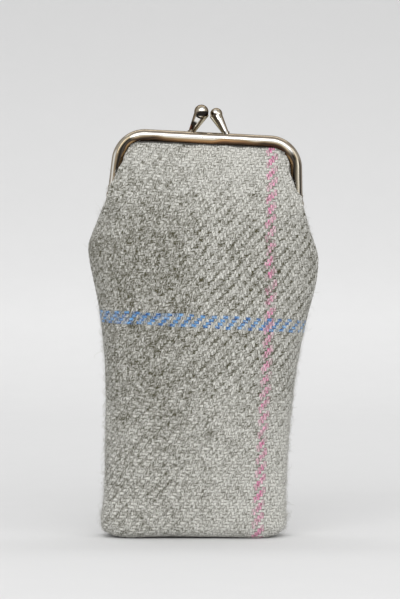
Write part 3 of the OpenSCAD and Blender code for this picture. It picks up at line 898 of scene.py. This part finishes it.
def ply_rows(z, cover, inset, side, tuck):
    """Rows of an inner layer's outer face: it follows the tweed from inside, and above the hinge
    it is drawn in between the legs."""
    heel = heel_in(z) * 0.6
    rise = np.clip(z - HINGE_H, 2, LIP_Z)
    inwards = smooth((z - SEAM_TOP + 4) / 12)
    half_x = mix(curve(OUTLINE, z) - inset, rim_half(rise, LIP_IN) - side, inwards) - heel
    edge = mix(0.15, tuck, inwards)
    depth = np.maximum(half_depth(z) - inset - heel, edge + 0.3)
    x, y = boxy(z, half_x, edge, depth, 60)
    return even(x * mix(0.94, 1, cover)[:, None], y * cover[:, None], 41)


def ply_sheet(name, back, inset, thickness, side, tuck, top, wrinkle, seed):
    """An inner layer of cloth or wadding, up to a height above the hinge axis. It lies at an inset
    inside the tweed's face, and its side edges at one inside the frame's lips. tuck says how far
    from the middle plane the edges of its two faces lie there."""
    z_all, cover_all, length_all = heights()
    length = np.linspace(0, length_all[z_all <= HINGE_H + top][-1], 170)
    z = np.interp(length, length_all, z_all)
    cover = np.interp(length, length_all, cover_all)
    faces = []
    for deep in (0, thickness):
        x, y = ply_rows(z, cover, inset + deep, side + deep / 3, tuck[deep > 0])
        flat = mirrored(x, y, z + (inset + deep) * np.clip(1 - z / SEAM_TOP, 0, 1))
        if top > LIP_Z:
            flat = tongues(flat, z)
        faces.append(flat)
    run = row_runs(faces[0])
    folds = wrinkle * waves(run * 1.6, length[:, None], seed, 9, 16, 60)
    folds = folds * smooth((np.abs(run[:, -1:]) - np.abs(run)) / 8) * smooth(length / 20)[:, None]
    folds = folds * smooth((HINGE_H + top - 4 - z) / 12)[:, None]
    shift = normals(faces[0]) * (folds - wrinkle)[..., None]
    shift = shift * smooth((HINGE_H + top - 2 - z) / 10)[:, None, None]
    outer, inner = [turned(face + shift, back) for face in faces]
    if back:
        outer, inner = outer[:, ::-1], inner[:, ::-1]
    ids = np.arange(outer.shape[0] * outer.shape[1]).reshape(outer.shape[:2])
    return closed_sheet(name, outer.reshape(-1, 3), ids, inner, None)


def tubes(name, paths, radius, sides=3):
    """Thin round pieces along paths (piece, point, xyz), as one mesh."""
    count, length = paths.shape[:2]
    along = np.gradient(paths, axis=1)
    along /= np.linalg.norm(along, axis=-1, keepdims=True)
    helper = np.where(np.abs(along[..., 2:]) > 0.9, [1.0, 0, 0], [0, 0, 1.0])
    a = np.cross(along, helper)
    a /= np.linalg.norm(a, axis=-1, keepdims=True)
    b = np.cross(along, a)
    thin = np.sin(np.linspace(0.15, 1, length) * math.pi * 0.93)[None, :, None, None] ** 0.4
    turn = 2 * math.pi * np.arange(sides) / sides
    ring = a[:, :, None] * np.cos(turn)[:, None] + b[:, :, None] * np.sin(turn)[:, None]
    radius = np.broadcast_to(radius, (count,))[:, None, None, None]
    points = (paths[:, :, None] + ring * radius * thin).reshape(-1, 3)
    ids = np.arange(count * length * sides).reshape(count, length, sides)
    beside = np.roll(ids, -1, 2)
    quads = np.stack([ids[:, :-1], beside[:, :-1], beside[:, 1:], ids[:, 1:]], axis=-1)
    ends = ids[:, 0, ::-1].tolist() + ids[:, -1].tolist()
    return mesh_object(name, points, quads.reshape(-1, 4).tolist() + ends)


def fuzz(name, points, normal, back, count, seed):
    """Loose wool fibres that stand off the cloth, each curling its own way."""
    rng = np.random.default_rng(seed)
    rows, cols = points.shape[:2]
    column = np.where(rng.random(count) < 0.5, rng.uniform(0.06, 0.94, count),
                      0.5 + rng.choice([-1, 1], count) * rng.uniform(0.34, 0.44, count))
    at = (rng.integers(30, int(rows * 0.93), count), (column * cols).astype(int))
    start = points[at]
    out = normal[at]
    sideways = rng.normal(size=(count, 3))
    sideways -= out * np.sum(sideways * out, axis=1, keepdims=True)
    sideways /= np.linalg.norm(sideways, axis=1, keepdims=True)
    curl = np.cross(out, sideways) * rng.uniform(-0.8, 0.8, (count, 1))
    length = rng.gamma(2.3, 0.55, (count, 1, 1))
    t = np.linspace(0, 1, 6)[None, :, None]
    lift = rng.uniform(0.1, 0.75, (count, 1, 1))
    path = start[:, None] + length * (
        sideways[:, None] * t + curl[:, None] * t * t * 0.7 + out[:, None] * lift * np.sin(t * 2.2))
    path = path - out[:, None] * 0.15
    path[..., 2] = np.maximum(path[..., 2], 0.05)
    return tubes(name, turned(path, back), rng.uniform(0.02, 0.05, count))


def stitches(name):
    """The side seams' stitches, deep in the groove between the panels, and the base seam's."""
    t = np.linspace(-1, 1, 5)
    bow = 0.25 * np.cos(t * 1.5)
    paths = []
    for side in (-1, 1):
        for z in np.arange(6, SEAM_TOP - 1, STITCH_PITCH):
            x = side * (curve(OUTLINE, np.array([z]))[0] - 0.85)
            paths.append(place(np.stack([x + side * bow, STITCH_HALF * t, z + 0.5 * t], axis=-1)))
    for x in np.arange(-BASE_SEAM_HALF, BASE_SEAM_HALF, STITCH_PITCH):
        paths.append(np.stack([x + 0.5 * t, STITCH_HALF * t, 0.75 - bow], axis=-1))
    return tubes(name, np.array(paths), 0.2, sides=6)


def paint(piece, material):
    piece.data.materials.clear()
    piece.data.materials.append(material)


def node_material(node, material):
    for slot in bpy.data.objects[node].material_slots:
        slot.material = material


tweed = tweed_material(pick_at(HINGE_H + LIP_Z))
fluff = fluff_material("wadding", (0.62, 0.6, 0.54), (0.88, 0.87, 0.82), 700)
lining = plain_cloth_material("lining", (0.035, 0.05, 0.085), (0.2, 0.26, 0.36), 9000)
hair = fluff_material("fuzz", (0.3, 0.29, 0.24), (0.75, 0.74, 0.7), 250)
thread = plain_cloth_material("thread", (0.1, 0.1, 0.09), (0.34, 0.33, 0.31), 16000)
paper = fluff_material("paper_cord", (0.4, 0.31, 0.2), (0.66, 0.54, 0.38), 500)
nickel = nickel_material()

for name, back in (("front", False), ("back", True)):
    panel, points, normal = tweed_sheet(name + "_tweed_panel", back, 20 + back)
    paint(panel, tweed)
    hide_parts(name + "_tweed", name + "_tweed_fold", name + "_tweed_mouth")
    blend_frame(panel)
    fibres = fuzz(name + "_wool_fuzz", points, normal, back, FIBRES, 40 + back)
    paint(fibres, hair)
    blend_frame(fibres)
    pad = ply_sheet(name + "_wadding_pad", back, inset=1.6, thickness=1.5, side=2,
                    tuck=(1.9, 1.6), top=16.5, wrinkle=0.1, seed=50 + back)
    paint(pad, fluff)
    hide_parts(name + "_wadding", name + "_wadding_mouth")
    blend_frame(pad)
    inner = ply_sheet(name + "_lining_panel", back, inset=3.6, thickness=0.4, side=2.8,
                      tuck=(1.3, 1), top=TUCK_Z, wrinkle=0.8, seed=60 + back)
    paint(inner, lining)
    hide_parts(name + "_lining", name + "_lining_mouth")
    blend_frame(inner)
    node_material(name + "_channel", nickel)
    node_material(name + "_clasp_finger", finger_material(name + "_finger_nickel", *FINGERS[name]))
    node_material(name + "_paper_cord", paper)

seams = stitches("seam_stitches")
paint(seams, thread)
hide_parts("side_seam_threads", "base_seam_thread")
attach(seams, "pouch")
for node in ("left_hinge_rivet", "right_hinge_rivet"):
    node_material(node, nickel)


# The floor reaches from its front edge to where it starts to curve up into the backdrop
FLOOR_FRONT = -1600
FLOOR_BACK = 900
BACKDROP_R = 700
BACKDROP_H = 2200
FLOOR_HALF = 2200
CURVE_STEPS = 15


def sweep():
    """The pale floor, curving up into the backdrop far behind."""
    profile = [(FLOOR_FRONT, 0), (FLOOR_BACK, 0)]
    for turn in range(1, CURVE_STEPS + 1):
        a = math.pi / 2 * turn / CURVE_STEPS
        profile.append((FLOOR_BACK + BACKDROP_R * math.sin(a), BACKDROP_R - BACKDROP_R * math.cos(a)))
    profile.append((FLOOR_BACK + BACKDROP_R, BACKDROP_H))
    points = [(x, y, z) for y, z in profile for x in (-FLOOR_HALF, FLOOR_HALF)]
    faces = [[2 * i, 2 * i + 1, 2 * i + 3, 2 * i + 2] for i in range(len(profile) - 1)]
    return mesh_object("floor", points, faces)


def area_light(name, at, aim, size, power):
    """A soft light of a width and height in metres, at a place and aimed at a point."""
    data = bpy.data.lights.new(name, "AREA")
    data.shape = "RECTANGLE"
    data.size, data.size_y = size
    data.energy = power
    lamp = bpy.data.objects.new(name, data)
    lamp.location = at
    lamp.rotation_euler = (Vector(aim) - Vector(at)).to_track_quat("-Z", "Y").to_euler()
    bpy.context.scene.collection.objects.link(lamp)


# Painted light: the lightness of the floor and backdrop, by the way along the floor and up the wall
TONES_FROM = -400
TONES_TO = 2000
FLOOR_TONES = [
    (TONES_FROM, 0.74), (-71, 0.725), (178, 0.715), (640, 0.74), (1036, 0.77), (1318, 0.79),
    (1480, 0.735), (1620, 0.7), (1757, 0.675), (TONES_TO, 0.62),
]


def floor_material():
    """Matt paper with a fine grain, with the uneven light on a studio's backdrop painted into its
    tones.
    """
    g = Graph("floor_paper", Roughness=0.9, Specular_IOR_Level=0.1)
    where = g.add("TexCoord").outputs["Object"]
    _, back, up = g.parts(where)
    along = g.spread(g.plus(back, up), TONES_FROM * MM, TONES_TO * MM)
    tones = [((q - TONES_FROM) / (TONES_TO - TONES_FROM), tone) for q, tone in FLOOR_TONES]
    grain = g.noise(where, 40, 3)
    tone = g.ramp(along, *greys(*tones))
    paper = g.blend(g.spread(grain, 0.3, 0.7, 0, 0.03), tone, (0.5, 0.5, 0.5))
    return g.finish(paper, grain, distance=0.05)


floor = sweep()
paint(floor, floor_material())

ROOM_GREY = (0.81, 0.81, 0.81, 1)
ROOM_POWER = 0.82
world = bpy.data.worlds.new("studio")
bpy.context.scene.world = world
world.use_nodes = True
room = world.node_tree.nodes["Background"].inputs
room["Color"].default_value = ROOM_GREY
room["Strength"].default_value = ROOM_POWER
area_light("key", (-0.16, -1.1, 0.8), (0, 0, 0.1), (1.5, 0.7), 8.5)
area_light("fill", (0.9, -0.8, 0.6), (0, 0, 0.1), (0.6, 0.8), 2)
area_light("wall", (0, 0.5, 1.6), (0, 1.5, 0.25), (2.0, 0.5), 10)

# The camera looks level, and takes in VIEW_H metres of height at the object
CAMERA_RIGHT = 3.74
CAMERA_UP = 104
CAMERA_AWAY = 0.9
SENSOR = 36
VIEW_H = 0.2639
camera = bpy.data.objects.new("camera", bpy.data.cameras.new("camera"))
bpy.context.scene.collection.objects.link(camera)
camera.data.sensor_width = SENSOR
camera.data.lens = SENSOR * CAMERA_AWAY / VIEW_H
camera.location = (CAMERA_RIGHT * MM, -CAMERA_AWAY, CAMERA_UP * MM)
camera.rotation_euler = (math.pi / 2, 0, 0)
camera.data.clip_start = 0.01
bpy.context.scene.camera = camera
bpy.context.scene.view_settings.view_transform = "Standard"
